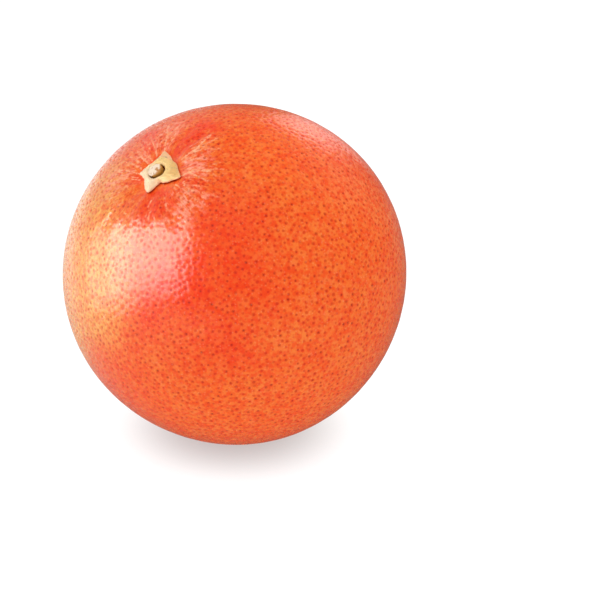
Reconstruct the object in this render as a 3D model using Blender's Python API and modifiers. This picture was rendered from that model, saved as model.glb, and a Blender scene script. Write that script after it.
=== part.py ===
"""Whole grapefruit lying on a table, its stem end leaning forward and to the left.

The fruit, its star-shaped calyx and the cut stub of its stalk are modelled upright in the
fruit's own frame, stem end up, and hang from one empty that leans them over. The underside
is pressed flat where the fruit rests, and the middle of that spot is the origin.
"""

import math
import random

import bmesh
import bpy
from mathutils import Euler, Vector

# Sizes of the fruit, in metres
EQUATOR_RADIUS = 0.0575
POLE_RADIUS = 0.0555
MEAN_RADIUS = (2 * EQUATOR_RADIUS + POLE_RADIUS) / 3
CLEARANCE = 0.0004

# How the fruit lies: its stem axis leans from the vertical, towards this heading from +X
STEM_LEAN = math.radians(38.2)
STEM_HEADING = math.radians(225.4)

# Flat spot that the fruit rests on, and how its place on the peel is found
REST_RADIUS = 0.009
REST_PASSES = 4
REST_RING_STEPS = 24

# Basin at the stem end, where the calyx sits
BASIN_DEPTH = 0.0024
BASIN_RADIUS = 0.0088

# Creases that run out of the basin over the shoulder
FURROW_COUNT = 13
FURROW_START = 0.0045
FURROW_FULL = 0.0095
FURROW_REACH = (0.022, 0.036)
FURROW_DEPTH = (0.0005, 0.0011)
FURROW_WIDTH = 0.0011
FURROW_SPREAD = 0.07

# Scar of the style at the blossom end
SCAR_DEPTH = 0.0008
SCAR_RADIUS = 0.0036

# Slow unevenness of the whole fruit
LUMP_COUNT = 6
LUMP_HEIGHT = 0.00022
LUMP_WAVES = (1.8, 4.6)

# Pits of the oil glands, drawn about twice as far apart as on the real peel
PIT_DEPTH = (0.00025, 0.0006)
PIT_JITTER = 0.0009
PIT_CLEAR_OF_STEM = (0.009, 0.017)
PIT_CLEAR_OF_REST = (0.0095, 0.014)

# Share by which the mesh is drawn in towards the stem end and the blossom end
STEM_DRAW = 0.5
BLOSSOM_DRAW = 0.35
DRAW_ANGLE = 0.5

# Outline of the calyx: heading in degrees and distance from the axis, tips and notches
CALYX_OUTLINE = (
    (-158.0, 0.0086),
    (-137.0, 0.00665),
    (-98.0, 0.0062),
    (-72.0, 0.0070),
    (-36.0, 0.0054),
    (-13.0, 0.0062),
    (4.0, 0.0075),
    (18.0, 0.0088),
    (46.5, 0.0050),
    (58.0, 0.0066),
    (89.0, 0.0104),
    (100.0, 0.0083),
    (116.0, 0.00685),
    (156.0, 0.0053),
    (175.0, 0.0055),
)
CALYX_ROUNDING = 4.0
CALYX_HOLE = 0.00268
CALYX_HUB = 0.0017
CALYX_EDGE = 0.0008
CALYX_TIP_LIFT = 0.0005
CALYX_SEGMENTS = 90
CALYX_SECTION = 12

# Cut stub of the stalk, standing in the hole of the calyx
STUB_RADIUS = 0.0023
STUB_PROUD = 0.0007
STUB_EDGE = 0.0006
STUB_DISH = 0.0003
STUB_STEPS = 24

PEEL_COLOUR = (0.90, 0.17, 0.05, 1.0)
CALYX_COLOUR = (0.80, 0.62, 0.30, 1.0)
STUB_COLOUR = (0.72, 0.56, 0.38, 1.0)

# Starting numbers of the random draws; the one for the lumps balances the fruit on its spot
FURROW_SEED = 11
LUMP_SEED = 928
PIT_SEED = 13


def clear_scene():
    """Remove everything that the file opened with."""
    for old in list(bpy.data.objects):
        bpy.data.objects.remove(old, do_unlink=True)


def smooth_step(low, high, value):
    """0 below low, 1 above high, and a smooth rise between them."""
    share = min(1.0, max(0.0, (value - low) / (high - low)))
    return share * share * (3 - 2 * share)


def make_furrows():
    """Heading, depth and reach of each crease, uneven round the stem."""
    draw = random.Random(FURROW_SEED)
    spacing = 2 * math.pi / FURROW_COUNT
    return [
        (
            (step + draw.uniform(-0.32, 0.32)) * spacing,
            draw.uniform(*FURROW_DEPTH),
            draw.uniform(*FURROW_REACH),
        )
        for step in range(FURROW_COUNT)
    ]


def make_lumps():
    """Direction, number of waves and phase of each slow swelling."""
    draw = random.Random(LUMP_SEED)
    lumps = []
    for _ in range(LUMP_COUNT):
        axis = Vector([draw.gauss(0, 1) for _ in range(3)]).normalized()
        lumps.append((axis, draw.uniform(*LUMP_WAVES), draw.uniform(0, 2 * math.pi)))
    return lumps


FURROWS = make_furrows()
LUMPS = make_lumps()


def furrow_depth(arc, heading):
    """Depth of the creases at this distance along the peel from the stem axis."""
    total = 0.0
    width = FURROW_WIDTH + FURROW_SPREAD * arc
    for middle, depth, reach in FURROWS:
        if arc >= reach:
            continue
        turn = (heading - middle + math.pi) % (2 * math.pi) - math.pi
        aside = turn * arc / width
        along = smooth_step(FURROW_START, FURROW_FULL, arc) * (1 - arc / reach) ** 1.4
        total += depth * along * math.exp(-aside * aside)
    return total


def peel_radius(direction):
    """Distance of the peel from the fruit's centre in a unit direction, without its pits."""
    level = direction.x**2 + direction.y**2
    radius = 1 / math.sqrt(level / EQUATOR_RADIUS**2 + direction.z**2 / POLE_RADIUS**2)
    for axis, waves, phase in LUMPS:
        radius += LUMP_HEIGHT * math.sin(waves * direction.dot(axis) + phase)
    polar = math.acos(max(-1.0, min(1.0, direction.z)))
    arc = polar * MEAN_RADIUS
    radius -= BASIN_DEPTH / (1 + (arc / BASIN_RADIUS) ** 4)
    radius -= furrow_depth(arc, math.atan2(direction.y, direction.x))
    from_scar = (math.pi - polar) * MEAN_RADIUS
    radius -= SCAR_DEPTH * math.exp(-((from_scar / SCAR_RADIUS) ** 2))
    return radius


def peel_height(across, heading):
    """Height of the peel over the fruit's centre, this far from the stem axis."""
    radius = POLE_RADIUS
    for _ in range(4):
        polar = math.asin(across / radius)
        direction = Vector(
            (
                math.sin(polar) * math.cos(heading),
                math.sin(polar) * math.sin(heading),
                math.cos(polar),
            )
        )
        radius = peel_radius(direction)
    return radius * math.cos(polar)


def down_in_fruit():
    """The world's down, as a unit vector in the fruit's own frame."""
    return Vector((math.sin(STEM_LEAN), 0.0, -math.cos(STEM_LEAN)))


def under_fruit(forth, left):
    """Point of the peel this far forth and to the left of the fruit's lowest direction."""
    down = down_in_fruit()
    ahead = Vector((math.cos(STEM_LEAN), 0.0, math.sin(STEM_LEAN)))
    aside = ahead * forth + Vector((0.0, left, 0.0))
    depth = MEAN_RADIUS
    for _ in range(4):
        radius = peel_radius((aside + down * depth).normalized())
        depth = math.sqrt(radius**2 - aside.length_squared)
    return aside + down * depth


def rest_middle():
    """Middle of the flat spot in the fruit's own frame, sought with a ring laid on the peel.

    Where the ring is deeper on one side, the lowest point of the peel lies that way.
    """
    down = down_in_fruit()
    turns = [2 * math.pi * step / REST_RING_STEPS for step in range(REST_RING_STEPS)]
    forth = left = 0.0
    for _ in range(REST_PASSES):
        ring = [
            under_fruit(
                forth + REST_RADIUS * math.cos(turn), left + REST_RADIUS * math.sin(turn)
            ).dot(down)
            for turn in turns
        ]
        share = 2 * MEAN_RADIUS / REST_RADIUS / REST_RING_STEPS
        forth += share * sum(depth * math.cos(turn) for depth, turn in zip(ring, turns))
        left += share * sum(depth * math.sin(turn) for depth, turn in zip(ring, turns))
    middle = under_fruit(forth, left)
    return middle + down * (sum(ring) / REST_RING_STEPS - middle.dot(down))


def draw_to_ends(direction):
    """Move a unit direction towards the nearer end of the fruit, where the detail is."""
    polar = math.acos(max(-1.0, min(1.0, direction.z)))
    heading = math.atan2(direction.y, direction.x)
    polar -= polar * STEM_DRAW * math.exp(-((polar / DRAW_ANGLE) ** 2))
    rest = math.pi - polar
    polar += rest * BLOSSOM_DRAW * math.exp(-((rest / DRAW_ANGLE) ** 2))
    return Vector(
        (
            math.sin(polar) * math.cos(heading),
            math.sin(polar) * math.sin(heading),
            math.cos(polar),
        )
    )


def split_by_root_three(mesh):
    """Put a point in the middle of each triangle and turn the old edges to join them."""
    old_edges = mesh.edges[:]
    bmesh.ops.poke(mesh, faces=mesh.faces[:])
    bmesh.ops.rotate_edges(mesh, edges=old_edges)
    for vertex in mesh.verts:
        vertex.co.normalize()


def pit_share(direction):
    """1 where the peel has its full pits, 0 under the calyx and where the fruit rests."""
    from_stem = math.acos(max(-1.0, min(1.0, direction.z))) * MEAN_RADIUS
    from_rest = direction.angle(down_in_fruit()) * MEAN_RADIUS
    return smooth_step(*PIT_CLEAR_OF_STEM, from_stem) * smooth_step(
        *PIT_CLEAR_OF_REST, from_rest
    )


def choose_pits(mesh, draw):
    """Pick points of the mesh at random for the pits, so that no two are neighbours."""
    pits = set()
    for vertex in draw.sample(mesh.verts[:], len(mesh.verts)):
        if not any(edge.other_vert(vertex) in pits for edge in vertex.link_edges):
            pits.add(vertex)
    return pits


def build_fruit():
    """The fruit as one solid: a geodesic sphere raised to the peel, with its pits."""
    mesh = bmesh.new()
    bmesh.ops.create_icosphere(mesh, subdivisions=4, radius=1)
    for vertex in mesh.verts:
        vertex.co = draw_to_ends(vertex.co.normalized())
    split_by_root_three(mesh)
    draw = random.Random(PIT_SEED)
    for vertex in mesh.verts:
        nudge = Vector([draw.uniform(-1, 1) for _ in range(3)]) * PIT_JITTER / MEAN_RADIUS
        vertex.co = (vertex.co + nudge * pit_share(vertex.co)).normalized()
    split_by_root_three(mesh)
    pits = choose_pits(mesh, draw)
    for vertex in mesh.verts:
        direction = vertex.co.copy()
        radius = peel_radius(direction)
        if vertex in pits:
            radius -= draw.uniform(*PIT_DEPTH) * pit_share(direction)
        vertex.co = direction * radius
    bmesh.ops.recalc_face_normals(mesh, faces=mesh.faces[:])
    return add_mesh_object("fruit", mesh)


def calyx_reach(heading):
    """Distance of the calyx's edge from the axis: straight between its tips and notches."""
    degrees = math.degrees(heading)
    corners = [
        (angle + turn, reach) for turn in (-360, 0, 360) for angle, reach in CALYX_OUTLINE
    ]
    for (before, near), (after, far) in zip(corners, corners[1:]):
        if before <= degrees < after:
            start = Vector((near, 0.0))
            apart = math.radians(after - before)
            end = Vector((far * math.cos(apart), far * math.sin(apart)))
            turn = math.radians(degrees - before)
            ray = Vector((math.cos(turn), math.sin(turn)))
            edge = end - start
            return (start.x * edge.y - start.y * edge.x) / (ray.x * edge.y - ray.y * edge.x)
    raise ValueError("the heading lies outside the outline")


def rounded_calyx_reach(heading):
    """The calyx's edge with its corners rounded, as the mean over a few degrees."""
    window = [math.radians(CALYX_ROUNDING * share) for share in (-1, -0.5, 0, 0.5, 1)]
    return sum(calyx_reach(heading + turn) for turn in window) / len(window)


def build_calyx():
    """The star of sepals: a torus flattened into the basin and pulled out to its lobes."""
    mesh = bmesh.new()
    tube = 0.5
    ring = bmesh.ops.create_circle(mesh, segments=CALYX_SECTION, radius=tube)
    bmesh.ops.translate(mesh, verts=ring["verts"], vec=(1, 0, 0))
    for vertex in mesh.verts:
        vertex.co = Vector((vertex.co.x, 0, vertex.co.y))
    bmesh.ops.spin(
        mesh,
        geom=mesh.verts[:] + mesh.edges[:],
        axis=(0, 0, 1),
        cent=(0, 0, 0),
        angle=2 * math.pi,
        steps=CALYX_SEGMENTS,
        use_merge=True,
    )
    bmesh.ops.remove_doubles(mesh, verts=mesh.verts[:], dist=1e-4)
    for vertex in mesh.verts:
        heading = math.atan2(vertex.co.y, vertex.co.x)
        across = math.hypot(vertex.co.x, vertex.co.y) - 1
        turn = math.atan2(vertex.co.z, across)
        share = (1 + math.cos(turn)) / 2
        reach = rounded_calyx_reach(heading)
        distance = CALYX_HOLE + (reach - CALYX_HOLE) * share
        thickness = CALYX_EDGE + (CALYX_HUB - CALYX_EDGE) * (1 - share) ** 1.5
        lift = CALYX_TIP_LIFT * smooth_step(CALYX_HOLE, 0.0095, distance)
        middle = peel_height(distance, heading) + CLEARANCE + lift + thickness / 2
        bulge = math.copysign(abs(math.sin(turn)) ** 0.6, math.sin(turn))
        vertex.co = Vector(
            (
                distance * math.cos(heading),
                distance * math.sin(heading),
                middle + bulge * thickness / 2,
            )
        )
    bmesh.ops.recalc_face_normals(mesh, faces=mesh.faces[:])
    return add_mesh_object("calyx", mesh)


def build_stub():
    """The cut stub of the stalk: a turned peg with a rounded rim and a dished end."""
    foot = peel_height(0.0, 0.0) + CLEARANCE
    top = foot + CALYX_HUB + STUB_PROUD
    profile = [(0.0, top - STUB_DISH), (STUB_RADIUS * 0.45, top - STUB_DISH * 0.7)]
    for step in range(5):
        turn = math.pi / 2 * (1 - step / 4)
        profile.append(
            (
                STUB_RADIUS - STUB_EDGE + STUB_EDGE * math.cos(turn),
                top - STUB_EDGE + STUB_EDGE * math.sin(turn),
            )
        )
    profile += [(STUB_RADIUS * 0.97, foot), (0.0, foot)]
    mesh = bmesh.new()
    points = [mesh.verts.new((across, 0, height)) for across, height in profile]
    for before, after in zip(points, points[1:]):
        mesh.edges.new((before, after))
    stub = add_mesh_object("stem_stub", mesh)
    turned = stub.modifiers.new("turned", "SCREW")
    turned.angle = 2 * math.pi
    turned.steps = turned.render_steps = STUB_STEPS
    turned.use_merge_vertices = True
    turned.merge_threshold = 0.00001
    return stub


def add_mesh_object(name, mesh):
    """Turn a bmesh into an object of that name."""
    data = bpy.data.meshes.new(name)
    mesh.to_mesh(data)
    mesh.free()
    data.shade_smooth()
    return bpy.data.objects.new(name, data)


def give_finish(obj, colour, roughness):
    """One Principled material for a piece."""
    material = bpy.data.materials.new(obj.name)
    material.use_nodes = True
    shader = material.node_tree.nodes["Principled BSDF"]
    shader.inputs["Base Color"].default_value = colour
    shader.inputs["Roughness"].default_value = roughness
    shader.inputs["Metallic"].default_value = 0.0
    obj.data.materials.append(material)


def flatten_underside(fruit, cutters):
    """Cut the fruit level where it rests, with a block whose top is the table."""
    side = 4 * EQUATOR_RADIUS
    bpy.ops.mesh.primitive_cube_add(size=side, location=(0, 0, -side / 2))
    block = bpy.context.object
    block.name = "table_cutter"
    block.display_type = "WIRE"
    block.hide_render = True
    for collection in list(block.users_collection):
        collection.objects.unlink(block)
    cutters.objects.link(block)
    cut = fruit.modifiers.new("rest_spot", "BOOLEAN")
    cut.operation = "DIFFERENCE"
    cut.solver = "EXACT"
    cut.object = block


def main():
    clear_scene()
    parts = bpy.data.collections.new("grapefruit")
    cutters = bpy.data.collections.new("cutters")
    for collection in (parts, cutters):
        bpy.context.scene.collection.children.link(collection)

    lean = bpy.data.objects.new("stem_axis", None)
    turn = Euler((0.0, STEM_LEAN, STEM_HEADING))
    lean.rotation_euler = turn
    lean.location = -(turn.to_matrix() @ rest_middle())
    parts.objects.link(lean)

    fruit = build_fruit()
    calyx = build_calyx()
    stub = build_stub()
    for piece in (fruit, calyx, stub):
        piece.parent = lean
        parts.objects.link(piece)
    give_finish(fruit, PEEL_COLOUR, 0.42)
    give_finish(calyx, CALYX_COLOUR, 0.7)
    give_finish(stub, STUB_COLOUR, 0.8)
    flatten_underside(fruit, cutters)


main()
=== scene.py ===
"""Looks of a whole grapefruit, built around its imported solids.

The fruit, its dry calyx and the cut stub of its stalk are modelled again as finer meshes, each
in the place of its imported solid, and dressed with finishes made of shader nodes. They lie on a
pale floor under soft studio light.
"""

import logging
import math
import random
from dataclasses import dataclass
from enum import Enum
from functools import reduce
from itertools import product
from typing import Any

import bpy
import numpy as np
from mathutils import Euler, Matrix, Vector, kdtree, noise
from mathutils.geometry import delaunay_2d_cdt


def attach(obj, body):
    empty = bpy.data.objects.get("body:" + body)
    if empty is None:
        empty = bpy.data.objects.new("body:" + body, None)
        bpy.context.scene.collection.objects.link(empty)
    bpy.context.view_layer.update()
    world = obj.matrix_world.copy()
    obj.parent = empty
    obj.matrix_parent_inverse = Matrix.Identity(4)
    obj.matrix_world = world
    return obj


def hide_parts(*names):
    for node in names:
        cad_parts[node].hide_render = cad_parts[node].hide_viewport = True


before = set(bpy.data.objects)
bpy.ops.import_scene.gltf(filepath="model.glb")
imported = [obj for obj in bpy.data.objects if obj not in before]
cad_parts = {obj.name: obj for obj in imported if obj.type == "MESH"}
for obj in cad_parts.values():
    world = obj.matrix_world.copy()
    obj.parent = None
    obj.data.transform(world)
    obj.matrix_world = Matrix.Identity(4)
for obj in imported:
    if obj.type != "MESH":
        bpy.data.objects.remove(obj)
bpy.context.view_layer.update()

LOG = logging.getLogger("grapefruit")
MM = 0.001
WHITE = (1.0, 1.0, 1.0, 1.0)
VECTOR_SOCKET = "NodeSocketVector"
NUMBER_SOCKET = "NodeSocketFloat"

Colour = tuple[float, float, float, float]
Place = tuple[float, float, float]
Zone = tuple[float, float, float, float, float]
Cloud = tuple[float, float, float, float, float]
Band = tuple[float, float, float, float]
Trio = tuple[float, float, float]
Pair = tuple[float, float]
Array = np.ndarray
Material = bpy.types.Material
Node = bpy.types.Node
NodeTree = bpy.types.NodeTree
Object = bpy.types.Object
Socket = bpy.types.NodeSocket


class LightReach(Enum):
    """Which part of the shading a lamp takes part in."""

    GLOSS = "gloss"
    SOFT = "soft"


class Face(Enum):
    """Side of the cube that a patch of the peel is unfolded onto: axis, sign and tile."""

    RIGHT = (0, 1, 0, 0)
    LEFT = (0, -1, 1, 0)
    BACK = (1, 1, 2, 0)
    FRONT = (1, -1, 0, 1)
    TOP = (2, 1, 1, 1)
    UNDER = (2, -1, 2, 1)


def smooth(low: float, high: float, value: Array) -> Array:
    """Rise smoothly from 0 at low to 1 at high.

    Args:
        low: Value at which the rise starts.
        high: Value at which it ends.
        value: Values to grade.

    Returns:
        The share of the rise at each value.
    """
    share = np.clip((value - low) / (high - low), 0.0, 1.0)
    return share * share * (3 - 2 * share)


def to_unit(vectors: Array) -> Array:
    """Scale each row to length 1."""
    return vectors / np.linalg.norm(vectors, axis=1, keepdims=True)


def around_axis(heading: Any, out: Any, height: Any) -> Array:
    """Place points round the stem axis.

    Args:
        heading: Angle of each round the axis, in radians.
        out: Its distance from the axis.
        height: Its height.

    Returns:
        The points in the fruit's own frame, one a row.
    """
    columns = np.broadcast_arrays(out * np.cos(heading), out * np.sin(heading), height)
    return np.column_stack(columns)


def turn_from(heading: Array, middle: float) -> Array:
    """Angle between headings and a middle one, from minus half a turn to half a turn."""
    return (heading - middle + math.pi) % (2 * math.pi) - math.pi


def rough(rows: Array, *octaves: Pair) -> Array:
    """Give noise at each row.

    Args:
        rows: Points, one a row.
        *octaves: Scale and weight of each size of noise.

    Returns:
        The sum of the noises at each point.
    """
    return np.array(
        [
            sum(weight * noise.noise(Vector(row) * scale) for scale, weight in octaves)
            for row in rows.tolist()
        ]
    )


def grid_faces(rows: int, columns: int, closed: bool) -> list[tuple[int, ...]]:
    """Join rows of points into four-sided faces, each row closed to a ring.

    Args:
        rows: Number of rows.
        columns: Points in a row.
        closed: Whether the last row also joins the first.

    Returns:
        The faces, with their fronts on one side where closed and on the other where not.
    """
    faces = []
    for row in range(rows if closed else rows - 1):
        here, after = row * columns, (row + 1) % rows * columns
        for column in range(columns):
            beside = (column + 1) % columns
            second, fourth = after + column, here + beside
            if not closed:
                second, fourth = fourth, second
            faces.append((here + column, second, after + beside, fourth))
    return faces


@dataclass(frozen=True)
class PeelForm:
    """Shape of the peel as the part has it, in the fruit's own frame with the stem end up."""

    equator: float = 0.0575
    pole: float = 0.0555
    centre: Place = (0.000015, 0.0006703, 0.0557089)
    lean: float = math.radians(38.2)
    heading: float = math.radians(225.4)
    basin_depth: float = 0.0024
    basin_radius: float = 0.0088
    furrow_count: int = 13
    furrow_start: float = 0.0045
    furrow_full: float = 0.0095
    furrow_reach: Pair = (0.022, 0.036)
    furrow_depth: Pair = (0.0005, 0.0011)
    furrow_width: float = 0.0011
    furrow_spread: float = 0.07
    furrow_stray: float = 0.32
    furrow_taper: float = 1.4
    furrow_seed: int = 11
    scar_depth: float = 0.0008
    scar_radius: float = 0.0036
    lump_count: int = 6
    lump_height: float = 0.00022
    lump_waves: Pair = (1.8, 4.6)
    lump_seed: int = 928
    height_rounds: int = 4

    @property
    def mean(self) -> float:
        """Mean radius, on which distances along the peel are counted."""
        return (2 * self.equator + self.pole) / 3

    @property
    def turn(self) -> Matrix:
        """Rotation from the fruit's own frame to the world."""
        return Euler((0.0, self.lean, self.heading)).to_matrix()

    def arc(self, directions: Array) -> Array:
        """Distance along the peel from the stem axis, in each direction."""
        return np.arccos(np.clip(directions[:, 2], -1.0, 1.0)) * self.mean

    def furrows(self) -> list[Trio]:
        """Draw the creases.

        Returns:
            Heading, depth and reach of each.
        """
        draw = random.Random(self.furrow_seed)
        spacing = 2 * math.pi / self.furrow_count
        return [
            (
                (step + draw.uniform(-self.furrow_stray, self.furrow_stray)) * spacing,
                draw.uniform(*self.furrow_depth),
                draw.uniform(*self.furrow_reach),
            )
            for step in range(self.furrow_count)
        ]

    def lumps(self) -> list[tuple[Array, float, float]]:
        """Draw the slow swellings.

        Returns:
            Direction, number of waves and phase of each.
        """
        draw = random.Random(self.lump_seed)
        lumps = []
        for _ in range(self.lump_count):
            axis = Vector([draw.gauss(0, 1) for _ in range(3)]).normalized()
            waves = draw.uniform(*self.lump_waves)
            lumps.append((np.array(axis), waves, draw.uniform(0, 2 * math.pi)))
        return lumps

    def radius(self, directions: Array) -> Array:
        """Distance of the peel from the fruit's centre.

        Args:
            directions: Unit directions in the fruit's own frame, one a row.

        Returns:
            The radius in each direction, without pores.
        """
        level = directions[:, 0] ** 2 + directions[:, 1] ** 2
        upward = np.clip(directions[:, 2], -1.0, 1.0)
        radius = 1 / np.sqrt(level / self.equator**2 + upward**2 / self.pole**2)
        for axis, waves, phase in self.lumps():
            radius += self.lump_height * np.sin(waves * (directions @ axis) + phase)
        arc = self.arc(directions)
        radius -= self.basin_depth / (1 + (arc / self.basin_radius) ** 4)
        heading = np.arctan2(directions[:, 1], directions[:, 0])
        width = self.furrow_width + self.furrow_spread * arc
        onset = smooth(self.furrow_start, self.furrow_full, arc)
        for middle, depth, reach in self.furrows():
            turn = turn_from(heading, middle)
            along = onset * np.clip(1 - arc / reach, 0.0, 1.0) ** self.furrow_taper
            radius -= depth * along * np.exp(-((turn * arc / width) ** 2))
        from_scar = math.pi * self.mean - arc
        return radius - self.scar_depth * np.exp(-((from_scar / self.scar_radius) ** 2))

    def height(self, across: Array, heading: Array) -> Array:
        """Height of the peel over the fruit's centre, some way out from the stem axis.

        Args:
            across: Distance from the axis, in metres.
            heading: Angle round the axis, in radians.

        Returns:
            Heights in the fruit's own frame.
        """
        radius = np.full(across.shape, self.pole)
        for _ in range(self.height_rounds):
            polar = np.arcsin(across / radius)
            radius = self.radius(around_axis(heading, np.sin(polar), np.cos(polar)))
        return radius * np.cos(polar)

    def to_world(self, points: Array) -> Array:
        """Carry points from the fruit's own frame to where the fruit lies."""
        return points @ np.array(self.turn).T + np.array(self.centre)

    def down(self) -> Array:
        """The world's down, as a unit vector in the fruit's own frame."""
        return np.array((math.sin(self.lean), 0.0, -math.cos(self.lean)))


class Wiring:
    """Adds nodes to one node tree and links them."""

    def __init__(self, tree: NodeTree) -> None:
        """Keep the tree that the nodes go into."""
        self.tree = tree

    def plug(self, node: Node, plugs: dict[Any, Any]) -> None:
        """Link sockets into a node and set values on it.

        Args:
            node: The node.
            plugs: Input by name or number, with the socket or the value that goes into it.
        """
        for name, value in plugs.items():
            if isinstance(value, Socket):
                self.tree.links.new(value, node.inputs[name])
            else:
                node.inputs[name].default_value = value

    def add(self, kind: str, plugs: dict[Any, Any] | None = None, **settings: Any) -> Node:
        """Add one node.

        Args:
            kind: Blender's name of the node's type.
            plugs: What goes into its inputs.
            **settings: Properties of the node.

        Returns:
            The new node.
        """
        made = self.tree.nodes.new(kind)
        for name, value in settings.items():
            setattr(made, name, value)
        self.plug(made, plugs or {})
        return made

    def number(self, operation: str, *values: Socket | float) -> Socket:
        """Add a Math node and return its result."""
        return self.add("ShaderNodeMath", dict(enumerate(values)), operation=operation).outputs[0]

    def times(self, *values: Socket | float) -> Socket:
        """Multiply values with each other."""
        return reduce(lambda first, second: self.number("MULTIPLY", first, second), values)

    def plus(self, *values: Socket | float) -> Socket:
        """Add values to each other."""
        return reduce(lambda first, second: self.number("ADD", first, second), values)

    def vector(self, operation: str, plugs: dict[Any, Any]) -> Node:
        """Add a Vector Math node."""
        return self.add("ShaderNodeVectorMath", plugs, operation=operation)

    def dot(self, first: Socket, second: Place) -> Socket:
        """Add a dot product: the cosine of the angle between two unit vectors."""
        return self.vector("DOT_PRODUCT", {0: first, 1: second}).outputs["Value"]

    def rise(
        self,
        value: Socket,
        low: Socket | float,
        high: Socket | float,
        bottom: float = 0.0,
        top: float = 1.0,
        way: str = "SMOOTHSTEP",
    ) -> Socket:
        """Add a rise of a value.

        Args:
            value: What is graded.
            low: Value at which the rise starts.
            high: Value at which it ends.
            bottom: What it starts from.
            top: What it rises to.
            way: Blender's name of the rise's form.

        Returns:
            The graded value.
        """
        plugs = {"Value": value, "From Min": low, "From Max": high, "To Min": bottom, "To Max": top}
        return self.add("ShaderNodeMapRange", plugs, interpolation_type=way).outputs[0]

    def noise(
        self, place: Socket, scale: Socket | float, detail: float = 2.0, roughness: float = 0.5
    ) -> Socket:
        """Add a noise texture and return its value."""
        plugs = {"Vector": place, "Scale": scale, "Detail": detail, "Roughness": roughness}
        return self.add("ShaderNodeTexNoise", plugs).outputs[0]

    def tint(self, share: Socket | float, below: Any, above: Any, way: str = "MIX") -> Socket:
        """Add a colour mix, from below where the share is 0 to above where it is 1."""
        plugs = {0: share, 6: below, 7: above}
        return self.add("ShaderNodeMix", plugs, data_type="RGBA", blend_type=way).outputs[2]

    def lay(self, below: Any, above: Any, *shares: Socket | float) -> Socket:
        """Lay a colour over another, as far as the product of the shares."""
        return self.tint(self.times(*shares), below, above)

    def band(self, value: Socket, start: float, full: float, fading: float, end: float) -> Socket:
        """Add a band: a rise from start to full and a fall from fading to end."""
        return self.times(self.rise(value, start, full), self.rise(value, end, fading))

    def blend(self, share: Socket, below: Socket | float, above: Socket | float) -> Socket:
        """Add a mix of two numbers."""
        return self.add("ShaderNodeMix", {0: share, 2: below, 3: above}).outputs[0]

    def group(self, tree: NodeTree, plugs: dict[str, Any]) -> Node:
        """Place a node group with its own values."""
        return self.add("ShaderNodeGroup", plugs, node_tree=tree)


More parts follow.
